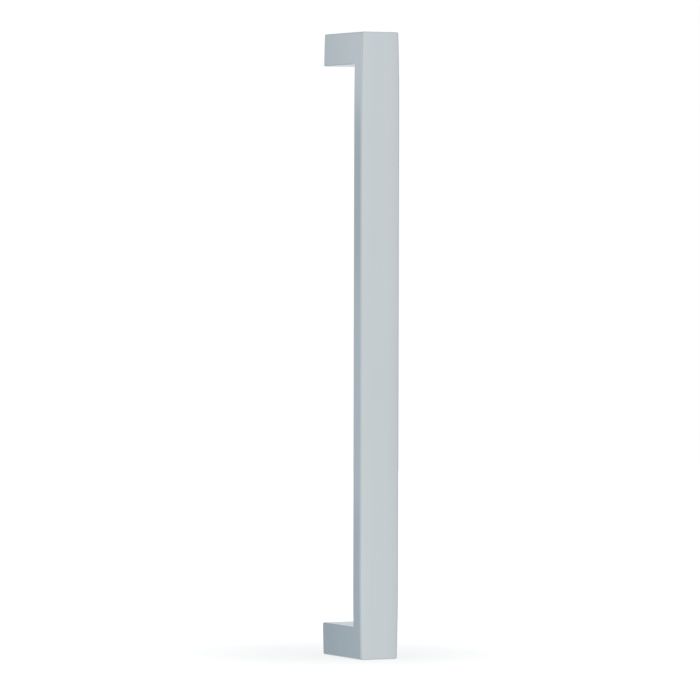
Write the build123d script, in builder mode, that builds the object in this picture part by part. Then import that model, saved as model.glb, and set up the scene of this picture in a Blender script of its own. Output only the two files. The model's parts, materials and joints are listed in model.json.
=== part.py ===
"""Appliance pull: a flat grip bar with a full-width leg turned back to the door at each end.

The pull is one metal casting, ground flat on every face and satin plated. It is drawn in millimetres,
upright as on the edge of a tall appliance door: +X to the right, +Y into the door, +Z up along the bar.
The origin lies on the door face, midway between the two screw holes.
"""

import math
import os

from build123d import *

# Grip bar and legs
screw_spacing = 457.2  # 18 in drilling, hole centre to hole centre
leg_height = 25.0  # one leg, measured along the bar
bar_width = 33.0  # across the grip's front face, at mid-length
bar_thickness = 13.0  # grip bar, front to back
projection = 67.0  # door face to the grip's front face

# The sides run straight for most of the bar, then draw in a little towards both tips
tip_draw_in = 1.0  # on each side, at the very tip
tip_draw_in_length = 58.0  # stretch of the bar over which a side draws in

# Edges
inner_corner_radius = 1.5  # where a leg meets the back of the grip
edge_radius = 1.2  # every outside edge, rounded by casting and polishing

# Blind tapped hole in each leg, for a 1/4-20 machine screw from inside the door
thread_diameter = 6.35
thread_pitch = 1.27
thread_depth = 16.0  # full threads, measured from the door face
tap_lead_threads = 2.0  # tapering threads left by the nose of the tap
drill_runout = 3.0  # plain drilled hole beyond the last thread
drill_point_angle = 118.0
mouth_chamfer = 0.5  # 45 degree lead-in at the door face

overall_length = screw_spacing + leg_height
finger_gap_length = screw_spacing - leg_height
finger_gap_depth = projection - bar_thickness
straight_half_length = overall_length / 2 - tip_draw_in_length

thread_radius = thread_diameter / 2
tap_drill_radius = (thread_diameter - thread_pitch) / 2
tap_lead_end = thread_depth + tap_lead_threads * thread_pitch
drill_depth = tap_lead_end + drill_runout
drill_point_length = tap_drill_radius / math.tan(math.radians(drill_point_angle / 2))


def meets_at_a_corner(edge):
    """True where the two faces beside an edge turn a corner, false where one runs smoothly into the next."""
    middle = edge.position_at(0.5)
    beside = [face for face in pull_body.faces() if edge in face.edges()]
    first, second = [face.normal_at(middle) for face in beside]
    return first.get_angle(second) > 1.0


with BuildPart() as pull_body:
    # Seen from the side, the pull is a staple: grip in front, a leg back to the door at each end
    with BuildSketch(Plane.YZ) as side_view:
        with Locations((-projection / 2, 0)):
            Rectangle(projection, overall_length)
        with Locations((-finger_gap_depth / 2, 0)):
            Rectangle(finger_gap_depth, finger_gap_length, mode=Mode.SUBTRACT)
        fillet(side_view.vertices().group_by(Axis.X)[1], inner_corner_radius)
    extrude(amount=bar_width / 2, both=True)

    # Seen from the front, each long side ends in a shallow arc that leaves the straight without a kink
    with BuildSketch(Plane.XZ):
        with BuildLine():
            straight_end = (bar_width / 2, straight_half_length)
            tip = (bar_width / 2 - tip_draw_in, overall_length / 2)
            Line((bar_width / 2, 0), straight_end)
            TangentArc(straight_end, tip, tangent=(0, 1))
            Line(tip, (0, overall_length / 2))
            mirror(about=Plane.YZ)
            mirror(about=Plane.XZ)
        make_face()
    extrude(amount=projection, mode=Mode.INTERSECT)

    fillet(pull_body.edges().filter_by(meets_at_a_corner), edge_radius)

    # Half section of a tapped hole, turned about its axis: lead-in, thread, tap lead, drilled end and point
    for leg_middle in (-screw_spacing / 2, screw_spacing / 2):
        with BuildSketch(Plane.XY.offset(leg_middle)):
            with BuildLine():
                Polyline(
                    (0, 0),
                    (thread_radius + mouth_chamfer, 0),
                    (thread_radius, -mouth_chamfer),
                    (thread_radius, -thread_depth),
                    (tap_drill_radius, -tap_lead_end),
                    (tap_drill_radius, -drill_depth),
                    (0, -drill_depth - drill_point_length),
                    close=True,
                )
            make_face()
        revolve(axis=Axis((0, 0, leg_middle), (0, 1, 0)), mode=Mode.SUBTRACT)

pull_body.part.label = "pull_body"

os.makedirs("parts", exist_ok=True)
export_step(pull_body.part, "parts/pull_body.step")

size = pull_body.part.bounding_box().size
print(f"pull_body: {size.X:.2f} x {size.Y:.2f} x {size.Z:.2f} mm, {pull_body.part.volume / 1000:.2f} cm3")
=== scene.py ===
# %% [markdown]
# # A satin chrome appliance pull
# Tall appliance doors are opened by a pull like this: a flat grip bar, held clear of the door by a
# stout leg at each end. The bar and its legs are one casting, ground flat, satin finished and chrome
# plated, and two machine screws come through the door into tapped holes in the legs.
#
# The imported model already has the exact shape, so this lesson leaves that alone. It adds what the
# solid lacks: the finish of every face, the thread inside each hole, and a plain studio to see them
# in. Everything is in metres, in the model's own frame: the door face is the plane Y = 0, the grip
# faces -Y, and the bar runs along Z.

# %% Load the frame
import json
import math

import bmesh
import bpy
from mathutils import Matrix, Vector


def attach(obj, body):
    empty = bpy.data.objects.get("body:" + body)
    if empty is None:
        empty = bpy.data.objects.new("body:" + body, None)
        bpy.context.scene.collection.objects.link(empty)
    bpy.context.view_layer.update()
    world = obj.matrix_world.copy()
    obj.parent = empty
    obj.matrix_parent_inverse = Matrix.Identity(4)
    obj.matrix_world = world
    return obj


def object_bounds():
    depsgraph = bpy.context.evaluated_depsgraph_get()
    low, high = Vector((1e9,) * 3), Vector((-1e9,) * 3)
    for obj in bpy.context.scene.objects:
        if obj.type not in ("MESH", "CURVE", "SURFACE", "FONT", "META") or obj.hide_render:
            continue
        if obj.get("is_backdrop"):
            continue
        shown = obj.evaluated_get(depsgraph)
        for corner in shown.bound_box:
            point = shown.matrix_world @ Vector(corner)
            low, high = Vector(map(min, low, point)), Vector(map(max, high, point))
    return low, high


MM = 0.001

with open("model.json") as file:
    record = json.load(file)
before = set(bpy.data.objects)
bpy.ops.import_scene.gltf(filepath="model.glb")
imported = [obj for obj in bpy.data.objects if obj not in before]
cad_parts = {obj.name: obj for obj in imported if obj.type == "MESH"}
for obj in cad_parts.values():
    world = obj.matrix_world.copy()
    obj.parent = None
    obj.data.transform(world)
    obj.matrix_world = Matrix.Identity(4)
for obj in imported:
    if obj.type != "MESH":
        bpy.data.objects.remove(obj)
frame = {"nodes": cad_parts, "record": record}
cad_low, cad_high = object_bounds()
pull = frame["nodes"]["pull_body"]
print("pull_body, mm:", [round(side / MM, 1) for side in cad_high - cad_low])

# %% [markdown]
# ## A closed mesh
# Where the casting comes to a point, as at the pole of a rounded corner or the tip of a drilled cone,
# its mesh has a few triangles without any area. They are loose ends in an exported mesh, and they pull
# the shading normals beside them astray, which leaves a dark speck close up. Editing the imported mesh
# would part it from the solid. So stray normals are turned back to those of their faces, and a Weld
# modifier that only closes up edges without length takes the triangles out. Neither moves anything.

# %% Mend the points of the mesh
STRAY_ANGLE = 30
MERGE_DISTANCE = 0.001 * MM


def mend_normals(mesh):
    """Turn normals that stray from their face back to the face's own, and return how many."""
    least_cosine = math.cos(math.radians(STRAY_ANGLE))
    normals = [corner.vector.copy() for corner in mesh.corner_normals]
    strays = 0
    for face in mesh.polygons:
        for corner in face.loop_indices:
            if normals[corner].dot(face.normal) < least_cosine:
                normals[corner] = face.normal.copy()
                strays += 1
    mesh.normals_split_custom_set(normals)
    return strays


print("normals turned back:", mend_normals(pull.data))
weld = pull.modifiers.new("merged_points", "WELD")
weld.mode = "CONNECTED"
weld.merge_threshold = MERGE_DISTANCE
welded = pull.evaluated_get(bpy.context.evaluated_depsgraph_get()).data
print("triangles taken out:", len(pull.data.polygons) - len(welded.polygons))

# %% [markdown]
# ## Writing shaders as sums
# A metal finish is mostly arithmetic on position: how far from a hole, which way a face looks, how
# close to an edge. Blender draws that arithmetic as boxes joined by noodles, which are slow to read in
# a script. So one small class wraps a socket and lets Python's own operators add the Math nodes. Its
# `node` method adds any other kind of node. Settings go in first, because they can change which
# sockets a node has.

# %% A socket that does arithmetic
class Wire:
    """One output socket of a node tree, or just the tree while there is no socket yet."""

    def __init__(self, tree, socket=None):
        self.tree = tree
        self.socket = socket

    def node(self, kind, settings=None, inputs=None, output=0):
        """Add a node: its settings, then a number, tuple or wire for each socket. Returns one output."""
        added = self.tree.nodes.new(kind)
        for name, value in (settings or {}).items():
            setattr(added, name, value)
        for name, value in (inputs or {}).items():
            if isinstance(value, Wire):
                self.tree.links.new(value.socket, added.inputs[name])
            else:
                added.inputs[name].default_value = value
        return Wire(self.tree, added.outputs[output]) if added.outputs else None

    def math(self, operation, *operands):
        """A Math node on numbers and wires, in the order given."""
        return self.node("ShaderNodeMath", {"operation": operation}, dict(enumerate(operands)))

    def __add__(self, other):
        return self.math("ADD", self, other)

    def __sub__(self, other):
        return self.math("SUBTRACT", self, other)

    def __rsub__(self, other):
        return self.math("SUBTRACT", other, self)

    def __mul__(self, other):
        return self.math("MULTIPLY", self, other)

    def __pow__(self, other):
        return self.math("POWER", self, other)

    def __abs__(self):
        return self.math("ABSOLUTE", self)

    __radd__ = __add__
    __rmul__ = __mul__


trial_tree = bpy.data.node_groups.new("trial", "ShaderNodeTree")
trial = 1 - 2 * abs(Wire(trial_tree).node("ShaderNodeValue"))
last_sum = trial.socket.node.operation.lower()
print("1 - 2 * abs(value) took", len(trial_tree.nodes), "nodes, the last of them to", last_sum)
bpy.data.node_groups.remove(trial_tree)

# %% [markdown]
# ## Words for a finish
# A few sums come back in every finish, so each gets a name: a soft step, a step by angle, a share of
# another number, and noise with a size in metres. A Math node would turn a colour grey, so colours
# are blended by a Mix node, and vectors go through Vector Math. A Mix node has a pair of sockets for
# each kind of value, all of them called A and B, so its colour sockets go by number.

# %% Soft steps, blends and noise
MIX_SHARE = 0
MIX_FIRST_COLOUR = 6
MIX_SECOND_COLOUR = 7
MIX_COLOUR = 2
NOISE_MIDDLE = 0.5
NOISE_DETAIL = 2.0


def rise(value, start, end):
    """0 at start and 1 at end, with soft shoulders. Start may be the larger of the two."""
    inputs = {"Value": value, "From Min": start, "From Max": end}
    return value.node("ShaderNodeMapRange", {"interpolation_type": "SMOOTHSTEP"}, inputs)


def within(cosine, full, none):
    """1 where an angle is under `full` degrees, fading to 0 at `none`. It comes in as its cosine."""
    return rise(cosine, math.cos(math.radians(none)), math.cos(math.radians(full)))


def between(first, second, share):
    """The first number, with a share of the second in its place."""
    return first + (second - first) * share


def tint(share, first, second):
    """A colour from first to second as the share goes from 0 to 1. Each is a tuple or a wire."""
    first, second = [end if isinstance(end, Wire) else (*end, 1.0) for end in (first, second)]
    inputs = {MIX_SHARE: share, MIX_FIRST_COLOUR: first, MIX_SECOND_COLOUR: second}
    return share.node("ShaderNodeMix", {"data_type": "RGBA"}, inputs, MIX_COLOUR)


def split(vector):
    """The three numbers of a vector."""
    parts = vector.node("ShaderNodeSeparateXYZ", inputs={0: vector}).socket.node.outputs
    return [Wire(vector.tree, part) for part in parts]


def along(vector, direction):
    """How much of a vector points in one direction, which has a length of 1."""
    inputs = {0: vector, 1: tuple(direction)}
    return vector.node("ShaderNodeVectorMath", {"operation": "DOT_PRODUCT"}, inputs, "Value")


def grain(place, *sizes):
    """Noise about 0, from -0.5 to 0.5, whose patches have these sizes along X, Y and Z."""
    scale = tuple(1 / size for size in sizes)
    cells = place.node("ShaderNodeVectorMath", {"operation": "MULTIPLY"}, {0: place, 1: scale})
    inputs = {"Vector": cells, "Scale": 1.0, "Detail": NOISE_DETAIL}
    return cells.node("ShaderNodeTexNoise", inputs=inputs) - NOISE_MIDDLE


words = (rise, within, between, tint, split, along, grain)
print("words made:", ", ".join(word.__name__ for word in words))

# %% [markdown]
# ## Screw holes
# Each leg has one blind hole, tapped for a quarter-inch screw. The record states the screw pattern, so
# the spacing and the radius of the holes are read from it. What a record has no place for, such as
# the pitch of the thread, is written here once.

# %% Sizes of the tapped holes
THREAD_PITCH = 1.27 * MM
THREAD_DEPTH = 16.0 * MM
TAP_LEAD = 2 * THREAD_PITCH
MOUTH_CHAMFER = 0.5 * MM

screws = next(mount for mount in frame["record"]["mounts"] if mount["name"] == "door_screws")
hole_height = screws["dims"]["spacing_y_mm"] / 2 * MM
thread_radius = screws["dims"]["hole_r_mm"] * MM
mouth_radius = thread_radius + MOUTH_CHAMFER
crest_radius = thread_radius - THREAD_PITCH / 2
print("holes at z = +/-", round(hole_height, 4), "m, thread radius", round(thread_radius / MM, 3), "mm")

# %% [markdown]
# ## Which face is which
# One casting carries several finishes, and a maker tells them apart by place: the rounded edges, the
# faces that look up or down, the wide flats, the two faces against the door, and the holes. Painting
# such masks would need the part unfolded into a flat map. Here each mask is a sum on the place and
# the direction of the surface, so it needs no map and stays right however the mesh is cut up. Angles
# are in degrees from the nearest axis.

# %% Masks for edges, faces and holes
FULLY_FLAT = 8
FULLY_ROUND = 35
FULLY_LEVEL = 35
FULLY_UPRIGHT = 60
DOOR_SKIN = 0.3 * MM
HOLE_REACH = 35 * MM
MASK_EDGE = 0.2 * MM


def face_masks(start, place):
    """Masks for the rounded edges, level faces, wide flats, door faces and holes, by name."""
    x, y, z = split(place)
    facing = start.node("ShaderNodeNewGeometry", output="Normal")
    across, inward, upward = [abs(axis) for axis in split(facing)]
    squarest = start.math("MAXIMUM", start.math("MAXIMUM", across, inward), upward)
    off_axis = (x ** 2 + (abs(z) - hole_height) ** 2) ** 0.5
    wide_flat = within(inward, FULLY_FLAT, FULLY_ROUND)
    near_door = rise(y, -HOLE_REACH, -HOLE_REACH + MASK_EDGE)
    return {
        "edge": 1 - within(squarest, FULLY_FLAT, FULLY_ROUND),
        "level": within(upward, FULLY_LEVEL, FULLY_UPRIGHT),
        "wide_flat": wide_flat,
        "door": wide_flat * rise(y, -DOOR_SKIN, -DOOR_SKIN + MASK_EDGE),
        "hole": near_door * rise(off_axis, mouth_radius + MASK_EDGE, mouth_radius),
    }


print("hole mask, mm: radius", round(mouth_radius / MM, 3), "and depth", round(HOLE_REACH / MM))

# %% [markdown]
# ## Belt lines
# Before plating, an abrasive belt draws the faces flat and leaves a grain of hair-fine lines: along
# the bar on its long faces, and across it on the faces that look up and down. The door faces are only
# ground, with coarser lines, and the drill leaves rings in the holes. A picture of brushed metal would
# show its seams. Noise that is stretched along one axis gives the same lines from position alone, and
# the masks say which grain a face has.

# %% Lines of the worked faces
ACROSS_BAR = 0
ALONG_BAR = 2
LINE_WIDTH = 0.16 * MM
LINE_LENGTH = 30 * MM
STREAK_WIDTH = 0.6 * MM
STREAK_LENGTH = 90 * MM
GROUND_WIDTH = 0.4 * MM
GROUND_LENGTH = 25 * MM
RING_WIDTH = 0.15 * MM
RING_LENGTH = 6 * MM
COARSE_STRENGTH = 2


def belt_lines(place, axis):
    """Hair lines and broader streaks, both drawn out along one axis, which is given by its number."""
    hairs = [LINE_WIDTH] * 3
    hairs[axis] = LINE_LENGTH
    streaks = [STREAK_WIDTH] * 3
    streaks[axis] = STREAK_LENGTH
    return grain(place, *hairs) + grain(place, *streaks)


def worked_lines(place, masks):
    """Noise about 0, drawn out along the way that each face was worked."""
    lines = between(belt_lines(place, ALONG_BAR), belt_lines(place, ACROSS_BAR), masks["level"])
    ground = COARSE_STRENGTH * grain(place, GROUND_LENGTH, GROUND_LENGTH, GROUND_WIDTH)
    rings = COARSE_STRENGTH * grain(place, RING_LENGTH, RING_WIDTH, RING_LENGTH)
    lines = between(lines, ground, masks["door"])
    return between(lines, rings, masks["hole"])


print("hair lines are", round(LINE_LENGTH / LINE_WIDTH), "times as long as they are wide")

# %% [markdown]
# The belt also bears a little harder towards the long edges, so the wide flats roll over there by a
# few tenths of a millimetre at most. That is too little to see as shape, but metal shows it as a soft
# band along each edge. It is added to the bump of the lines, as a height that drops with the square
# of the distance past the flat middle.

# %% Roll of the wide flats
ROLL_START = 6.0 * MM
ROLL_DROP = 0.0034


def rolled_edges(place, masks):
    """How far the wide flats drop towards their long edges, in millimetres."""
    past = place.math("MAXIMUM", abs(split(place)[0]) - ROLL_START, 0.0) * (1 / MM)
    return ROLL_DROP * past ** 2 * masks["wide_flat"]


half_width = (cad_high.x - cad_low.x) / 2
edge_drop = ROLL_DROP * ((half_width - ROLL_START) / MM) ** 2
print("the flats drop", round(edge_drop, 3), "mm at their edges")

# %% [markdown]
# ## Satin chrome
# Chrome over a dulled face reflects the room around it, but blurred, and with a cool blue-grey cast.
# Edges are smoother, because belt and buff both bear hardest there, and their colour is made a little
# lighter as a painted highlight. Two places get less care, since nobody sees them: the door faces stay
# dull, and plating hardly reaches into the holes, which show bare metal. A slow cloud over the whole
# length keeps the finish from looking like paint.
#
# All of this is one material on the imported node. It is split by the masks, so the solid needs no
# second material. Each `_TINT` below is how far something moves the colour, and each `_BLUR` how far
# it moves the roughness.

# %% Colours and shares of the finish
CHROME = (0.612, 0.660, 0.690)
CHROME_SPREAD = 0.05
BARE_METAL = (0.420, 0.430, 0.440)
MIDDLE_TONE = 0.5
SATIN_ROUGHNESS = 0.32
GROUND_ROUGHNESS = 0.42
BORE_ROUGHNESS = 0.38
CLOUD_WIDTH = 45 * MM
CLOUD_LENGTH = 130 * MM
CLOUD_TINT = 0.9
CLOUD_BLUR = 0.04
LINE_TINT = 0.5
LINE_BLUR = 0.1
LINE_HEIGHT = 0.004
# Painted highlight: how much lighter the rounded edges are made in colour.
EDGE_HIGHLIGHT_TINT = 0.3
EDGE_BLUR = -0.07
DOOR_TINT = -0.4


def shade(colour, share):
    """A colour made lighter, or darker by a negative share."""
    return tuple(channel * (1 + share) for channel in colour)


darkest = shade(CHROME, -CHROME_SPREAD)
lightest = shade(CHROME, CHROME_SPREAD)
print("chrome runs from", [round(c, 3) for c in darkest], "to", [round(c, 3) for c in lightest])

# %% Material of the casting
def new_material(name):
    """A material with an empty tree, and a wire to start from."""
    material = bpy.data.materials.new(name)
    material.use_nodes = True
    material.node_tree.nodes.clear()
    return material, Wire(material.node_tree)


def finish_metal(start, colour, roughness, relief):
    """End a tree as bare metal, whose relief is a height in millimetres."""
    normal = start.node("ShaderNodeBump", inputs={"Height": relief, "Distance": MM})
    sockets = {"Base Color": colour, "Metallic": 1.0, "Roughness": roughness, "Normal": normal}
    metal = start.node("ShaderNodeBsdfPrincipled", inputs=sockets)
    start.node("ShaderNodeOutputMaterial", inputs={"Surface": metal})


def satin_chrome():
    """The casting's one material: plated faces, ground door faces and bare holes."""
    material, start = new_material("satin_chrome")
    place = start.node("ShaderNodeTexCoord", output="Object")
    masks = face_masks(start, place)
    lines = worked_lines(place, masks)
    cloud = grain(place, CLOUD_WIDTH, CLOUD_WIDTH, CLOUD_LENGTH)

    brightness = MIDDLE_TONE + CLOUD_TINT * cloud + LINE_TINT * lines
    # The rounded edges are lightened in colour, a painted highlight.
    brightness = brightness + EDGE_HIGHLIGHT_TINT * masks["edge"] + DOOR_TINT * masks["door"]
    colour = tint(masks["hole"], tint(brightness, darkest, lightest), BARE_METAL)

    roughness = SATIN_ROUGHNESS + CLOUD_BLUR * cloud + LINE_BLUR * lines + EDGE_BLUR * masks["edge"]
    roughness = between(roughness, GROUND_ROUGHNESS, masks["door"])
    roughness = between(roughness, BORE_ROUGHNESS, masks["hole"])

    relief = LINE_HEIGHT * lines * (1 - masks["edge"]) - rolled_edges(place, masks)
    finish_metal(start, colour, roughness, relief)
    return material


pull.data.materials.clear()
pull.data.materials.append(satin_chrome())
print("satin chrome has", len(pull.data.materials[0].node_tree.nodes), "nodes")

# %% [markdown]
# ## Cut threads
# The screws turn into a thread with 20 turns to the inch, cut with a tap. The solid keeps a plain wall
# at the thread's widest, so here one ridge winds up each hole and stands in from that wall. A spring
# with a triangular section would do from far off. A ridge that is worked out section by section can
# also be cut back by the countersunk mouth and fade out where the tap's nose tapers, as the real one
# does.
#
# First comes the section: how far from the hole's middle the ridge reaches, at any depth. Its foot is
# sunk a few hundredths of a millimetre into the wall, so that no gap shows between the two.

# %% Section of the ridge
FLANK_ANGLE = 30
ROOT_SHARE = 7 / 16
FOOT_SHARE = 0.46
SUNK = 0.03 * MM

flank_slope = math.tan(math.radians(FLANK_ANGLE))
crest_half = THREAD_PITCH * ROOT_SHARE - (thread_radius - crest_radius) * flank_slope
foot_half = THREAD_PITCH * FOOT_SHARE


def wall_radius(depth):
    """Radius of the hole's wall: countersunk mouth, full thread, then the tap's taper."""
    if depth < MOUTH_CHAMFER:
        return mouth_radius - depth
    taper = min(max((depth - THREAD_DEPTH) / TAP_LEAD, 0.0), 1.0)
    return thread_radius + (crest_radius - thread_radius) * taper


def ridge_radius(offset, depth):
    """Radius of the ridge this far from its middle: flat crest, 60 degree flanks, cut by the mouth."""
    wall = wall_radius(depth)
    if abs(offset) == foot_half:
        return wall + 2 * SUNK
    flank = crest_radius + max(abs(offset) - crest_half, 0.0) / flank_slope
    ridge = max(flank, mouth_radius - depth)
    return ridge if ridge < wall else wall + SUNK


print("the crest is", round(2 * crest_half / MM, 3), "mm wide, once every", round(THREAD_PITCH / MM, 2))

# %% [markdown]
# The ridge is then swept: a ring of points for each section, turned a little further and moved
# a little deeper each time, with faces from ring to ring. Blender's Screw modifier could sweep it too,
# but the section changes on the way. The helix is right-handed: turning from +Z towards +X moves along
# +Y, out of the hole. At the mouth the section is held back inside the hole, where some of its points
# fall together and are merged. Shading is smooth, apart from the two lines along the crest, which a
# tap leaves crisp.

# %% Mesh of one ridge
STATIONS_PER_TURN = 36
FLANK_SHARES = (1.0, 0.75, 0.55)

ridge_turns = (THREAD_DEPTH + TAP_LEAD) / THREAD_PITCH
half_section = [foot_half * share for share in FLANK_SHARES] + [crest_half]
offsets = [-offset for offset in half_section] + half_section[::-1]


def ridge_rings(shape, middle):
    """One ring of points for each section along the helix, about a hole at this height."""
    rings = []
    for station in range(round(ridge_turns * STATIONS_PER_TURN) + 1):
        turn = station / STATIONS_PER_TURN
        angle = -2 * math.pi * turn
        outward = Vector((math.sin(angle), 0, math.cos(angle)))
        ring = []
        for offset in offsets:
            depth = max(turn * THREAD_PITCH + offset, SUNK)
            on_axis = Vector((0, -depth, middle))
            ring.append(shape.verts.new(on_axis + outward * ridge_radius(offset, depth)))
        rings.append(ring)
    return rings


def thread_mesh(name, middle):
    """The ridge of one hole, closed at both ends, with crisp lines along its crest."""
    shape = bmesh.new()
    rings = ridge_rings(shape, middle)
    for ring, after in zip(rings, rings[1:]):
        for k, offset in enumerate(offsets):
            shape.faces.new((ring[k], ring[k - 1], after[k - 1], after[k]))
            shape.edges.get((ring[k], after[k])).smooth = abs(offset) != crest_half
    shape.faces.new(rings[0])
    shape.faces.new(reversed(rings[-1]))
    for face in shape.faces:
        face.smooth = True
    bmesh.ops.remove_doubles(shape, verts=shape.verts, dist=MERGE_DISTANCE)
    bmesh.ops.recalc_face_normals(shape, faces=shape.faces)
    mesh = bpy.data.meshes.new(name)
    shape.to_mesh(mesh)
    shape.free()
    return mesh


print("one ridge makes", round(ridge_turns, 1), "turns of", STATIONS_PER_TURN, "sections each")

# %% [markdown]
# A tap scores the metal round and round, and no plating gets this far in, so the ridges are bare metal
# with fine rings and a little staining. Each ridge rides on the body that it was cut into.

# %% Bare metal and the two ridges
CUT_SPREAD = 0.15
SCORE_WIDTH = 0.06 * MM
SCORE_LENGTH = 3 * MM
SCORE_HEIGHT = 0.002
SCORE_TINT = 0.6
SCORE_BLUR = 0.06
STAIN_SIZE = 2 * MM
STAIN_TINT = 0.6
STAIN_BLUR = 0.1


def cut_metal():
    """Bare metal with the tap's rings and a few stains."""
    material, start = new_material("cut_metal")
    place = start.node("ShaderNodeTexCoord", output="Object")
    scores = grain(place, SCORE_LENGTH, SCORE_WIDTH, SCORE_LENGTH)
    stain = grain(place, STAIN_SIZE, STAIN_SIZE, STAIN_SIZE)
    brightness = MIDDLE_TONE + SCORE_TINT * scores + STAIN_TINT * stain
    colour = tint(brightness, shade(BARE_METAL, -CUT_SPREAD), shade(BARE_METAL, CUT_SPREAD))
    roughness = BORE_ROUGHNESS + STAIN_BLUR * stain + SCORE_BLUR * scores
    finish_metal(start, colour, roughness, SCORE_HEIGHT * scores)
    return material


thread_metal = cut_metal()
for name, middle in (("upper_screw_thread", hole_height), ("lower_screw_thread", -hole_height)):
    thread = bpy.data.objects.new(name, thread_mesh(name, middle))
    bpy.context.scene.collection.objects.link(thread)
    thread.data.materials.append(thread_metal)
    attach(thread, "root")
    print(name, "has", len(thread.data.polygons), "faces")

# %% [markdown]
# ## Camera
# The camera stands some 4 m off, 26 degrees to the left of straight in front and just above the middle
# of the bar, and looks at the pull through a long lens. That flattens the perspective, so the bar's two
# long edges stay all but parallel. The lens is set from its focal length in pixels, because that is
# what a picture can be measured for.

# %% Camera
CAMERA_YAW = math.radians(26.084)
CAMERA_PITCH = math.radians(-1.142)
CAMERA_ROLL = math.radians(0.135)
CAMERA_DISTANCE = 4.178
CAMERA_AIM = Vector((-0.00922, -0.03357, -0.00358))
FOCAL_PIXELS = 5406.6
IMAGE_PIXELS = 700

forward = Vector((
    math.sin(CAMERA_YAW) * math.cos(CAMERA_PITCH),
    math.cos(CAMERA_YAW) * math.cos(CAMERA_PITCH),
    math.sin(CAMERA_PITCH),
))
camera_data = bpy.data.cameras.new("camera")
camera_data.lens = FOCAL_PIXELS / IMAGE_PIXELS * camera_data.sensor_width
camera = bpy.data.objects.new("camera", camera_data)
bpy.context.scene.collection.objects.link(camera)
upright = forward.to_track_quat("-Z", "Y").to_matrix().to_4x4()
standing = Matrix.Translation(CAMERA_AIM - forward * CAMERA_DISTANCE)
camera.matrix_world = standing @ upright @ Matrix.Rotation(CAMERA_ROLL, 4, "Z")
bpy.context.scene.camera = camera
bpy.context.scene.view_settings.view_transform = "Standard"
camera_place = camera.matrix_world.translation
print("lens, mm:", round(camera_data.lens), "at", [round(axis, 3) for axis in camera_place])

# %% [markdown]
# ## A white room
# Metal has hardly any colour of its own to show: it shows the room. Each flat face shows the part of
# the room that lies along its mirrored line of sight, so `shown_by` works out where that is. The room
# is bright where the front looks, as if a large softbox stood there, and falls off evenly to a cool
# grey where the left side looks. That is what separates the front of the bar from its side. The right
# wall is dimmer too, for the soft band along the bar's right edge to show. The left wall is lifted a
# little: the rounded edge between front and side mirrors it, and would otherwise be a dark line.
#
# Camera rays see plain white instead of the walls, so the picture has a clean ground without any more
# light on the pull. The white ground behind the pull is also there for mirrored and refracted rays,
# so the ledges of the legs, which mirror what is behind them, show it as they would in a studio.

# %% Where each face looks
def shown_by(normal):
    """The direction in which a flat face mirrors the camera's line of sight."""
    return forward.reflect(Vector(normal))


front_shows = shown_by((0, -1, 0))
left_shows = shown_by((-1, 0, 0))
ledge_shows = shown_by((0, 0, 1))
for face, direction in (("front", front_shows), ("left side", left_shows), ("ledge", ledge_shows)):
    print("the", face, "shows", [round(axis, 2) for axis in direction])

# %% Room light
WHITE = (1.0, 1.0, 1.0)
BRIGHT_WALL = (0.990, 0.985, 0.980)
DIM_WALL = (0.390, 0.447, 0.483)
WALL_FALL = 1.7
RIGHT_WALL = Vector((0.966, -0.260, 0.0))
RIGHT_WALL_FULL = 20
RIGHT_WALL_NONE = 51
RIGHT_WALL_DIMMING = 0.5
LEFT_WALL = Vector((-0.9986, -0.0523, 0.0))
LEFT_WALL_FULL = 18
LEFT_WALL_NONE = 52
LEFT_WALL_SHARE = 0.62
BACKDROP_DROP = Vector((0, 0, -0.16))
BACKDROP_FULL = 18
BACKDROP_NONE = 46
BACKDROP_SHARE = 0.96

world = bpy.data.worlds.new("white_room")
world.use_nodes = True
world.node_tree.nodes.clear()
bpy.context.scene.world = world
start = Wire(world.node_tree)
toward = start.node("ShaderNodeTexCoord", output="Generated")
ahead = 0.5 + 0.5 * along(toward, front_shows)
brightness = ahead ** WALL_FALL
on_the_right = within(along(toward, RIGHT_WALL), RIGHT_WALL_FULL, RIGHT_WALL_NONE)
on_the_left = within(along(toward, LEFT_WALL), LEFT_WALL_FULL, LEFT_WALL_NONE)
brightness = brightness * (1 - RIGHT_WALL_DIMMING * on_the_right)
brightness = start.math("MAXIMUM", brightness, LEFT_WALL_SHARE * on_the_left)
walls = tint(brightness, DIM_WALL, BRIGHT_WALL)

backdrop = (ledge_shows + BACKDROP_DROP).normalized()
behind = within(along(toward, backdrop), BACKDROP_FULL, BACKDROP_NONE)
seen = start.node("ShaderNodeLightPath", output="Is Camera Ray")
mirrored = start.node("ShaderNodeLightPath", output="Is Glossy Ray")
refracted = start.node("ShaderNodeLightPath", output="Is Transmission Ray")
bounced = start.math("MAXIMUM", mirrored, refracted)
white_share = start.math("MAXIMUM", seen, BACKDROP_SHARE * behind * bounced)
room = start.node("ShaderNodeBackground", inputs={"Color": tint(white_share, walls, WHITE)})
start.node("ShaderNodeOutputWorld", inputs={"Surface": room})
print("the room has", len(world.node_tree.nodes), "nodes")

# %% [markdown]
# ## Softboxes and cards
# One large softbox hangs overhead and to the front, for the soft shadow under the pull. Then come three
# white cards close to the left side, of the kind that a photographer props up beside shiny things. A
# tall one lights the bar's side but falls off towards the back of the legs, and two small ones lift
# the upper leg and the middle of the bar. They could be glowing planes, but area lamps are sampled
# better and don't show up in the picture. Each card has a distance of its own, because lamps that
# overlap in one plane hide each other from reflections.

# %% Lamps
WARM_WHITE = (1.06, 0.97, 0.88)
OVERHEAD_PLACE = Vector((0.5, -0.7, 1.8))
OVERHEAD_SIZE = 1.6
OVERHEAD_LEVEL = 0.12
CARD_WIDTH = 0.20

pull_middle = (cad_low + cad_high) / 2
left_face = Vector((cad_low.x, pull_middle.y, 0.0))
sideways = Vector((-left_shows.y, left_shows.x, 0.0)).normalized()


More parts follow.
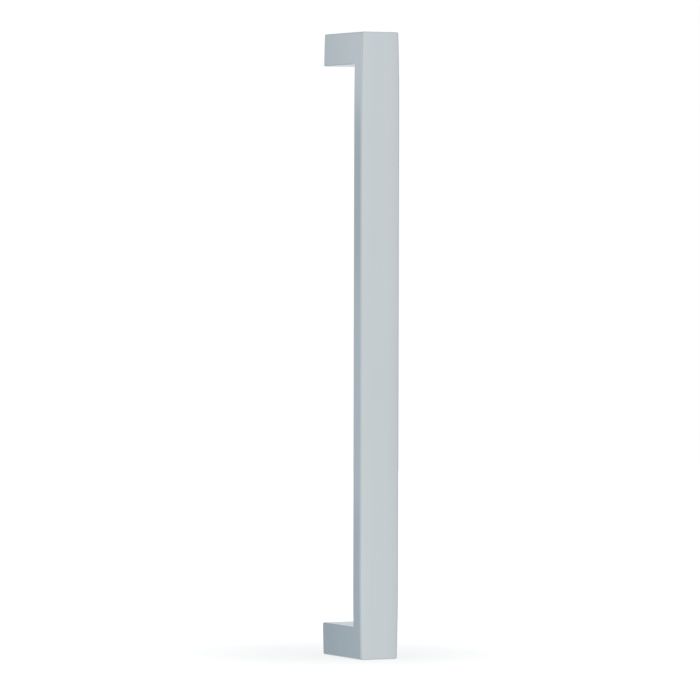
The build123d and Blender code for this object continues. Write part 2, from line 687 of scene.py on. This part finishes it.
def softbox(name, place, aim, width, height, level, colour=WHITE):
    """A rectangular lamp that glows as brightly as a white wall times its level."""
    data = bpy.data.lights.new(name, "AREA")
    data.shape = "RECTANGLE"
    data.size = width
    data.size_y = height
    data.color = colour
    data.energy = math.pi * width * height * level
    lamp = bpy.data.objects.new(name, data)
    bpy.context.scene.collection.objects.link(lamp)
    lamp.location = place
    lamp.rotation_euler = (aim - place).to_track_quat("-Z", "Y").to_euler()
    lamp.visible_camera = False
    print(name, "at", [round(axis, 3) for axis in place])


def left_card(name, middle, height, distance, shift, level, colour=WHITE):
    """A card that the left side mirrors around this height, shifted forwards from the leg's middle."""
    facing = left_face + Vector((0, 0, middle)) + sideways * shift
    softbox(name, facing + left_shows * distance, facing, CARD_WIDTH, height, level, colour)


softbox("overhead_softbox", OVERHEAD_PLACE, Vector(), OVERHEAD_SIZE, OVERHEAD_SIZE, OVERHEAD_LEVEL)
left_card("tall_card", middle=-0.030, height=0.66, distance=0.16, shift=0.10, level=0.172)
left_card("upper_card", middle=0.29, height=0.2, distance=0.18, shift=0.02, level=0.2, colour=WARM_WHITE)
left_card("middle_card", middle=-0.038, height=0.19, distance=0.20, shift=0.02, level=0.076)

# %% [markdown]
# ## Floor
# The pull stands on its lower end on a pale floor. Near the pull the floor is matt paint, which keeps
# the soft shadow, and further out it turns to plain white and meets the backdrop without a line. On a
# door there is no floor under a pull, so the metal is not made to show it: reflections and lamp light
# pass through from below.

# %% Floor
FLOOR_REACH = 3.0
FLOOR_PAINT = (0.9, 0.9, 0.9, 1.0)
FLOOR_GLOW = 1.14
SHADOW_SHARE = 0.37
SHADOW_START = 0.04
SHADOW_END = 0.26


def floor_paint():
    """Matt paint near the pull, which the camera sees turn to plain white further out."""
    material, start = new_material("floor_paint")
    x, y, z = split(start.node("ShaderNodeTexCoord", output="Object"))
    far = rise((x ** 2 + y ** 2) ** 0.5, SHADOW_START, SHADOW_END)
    seen = start.node("ShaderNodeLightPath", output="Is Camera Ray")
    matt = start.node("ShaderNodeBsdfDiffuse", inputs={"Color": FLOOR_PAINT})
    white = start.node("ShaderNodeEmission", inputs={"Strength": FLOOR_GLOW})
    share = seen * between(far, 1.0, 1 - SHADOW_SHARE)
    paint = start.node("ShaderNodeMixShader", inputs={0: share, 1: matt, 2: white})
    start.node("ShaderNodeOutputMaterial", inputs={"Surface": paint})
    return material


floor_mesh = bpy.data.meshes.new("floor")
corner_signs = ((-1, -1), (1, -1), (1, 1), (-1, 1))
corners = [(x * FLOOR_REACH, y * FLOOR_REACH, cad_low.z) for x, y in corner_signs]
floor_mesh.from_pydata(corners, [], [(0, 1, 2, 3)])
floor_mesh.materials.append(floor_paint())
floor = bpy.data.objects.new("floor", floor_mesh)
bpy.context.scene.collection.objects.link(floor)
floor.visible_glossy = False
floor.visible_shadow = False
floor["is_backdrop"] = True
print("floor at z =", round(cad_low.z, 4), "m, white from", SHADOW_END, "m out")

# %% [markdown]
# ## Finish
# The looks must not change the size of the part, so the box of the dressed model is compared with the
# box of the imported one, and how much it grew is printed. The threads lie inside the holes, so the two
# agree.

# %% Compare the sizes
new_low, new_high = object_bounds()
growth = (new_high - new_low) - (cad_high - cad_low)
print("grown by, mm:", [round(side / MM, 3) for side in growth])
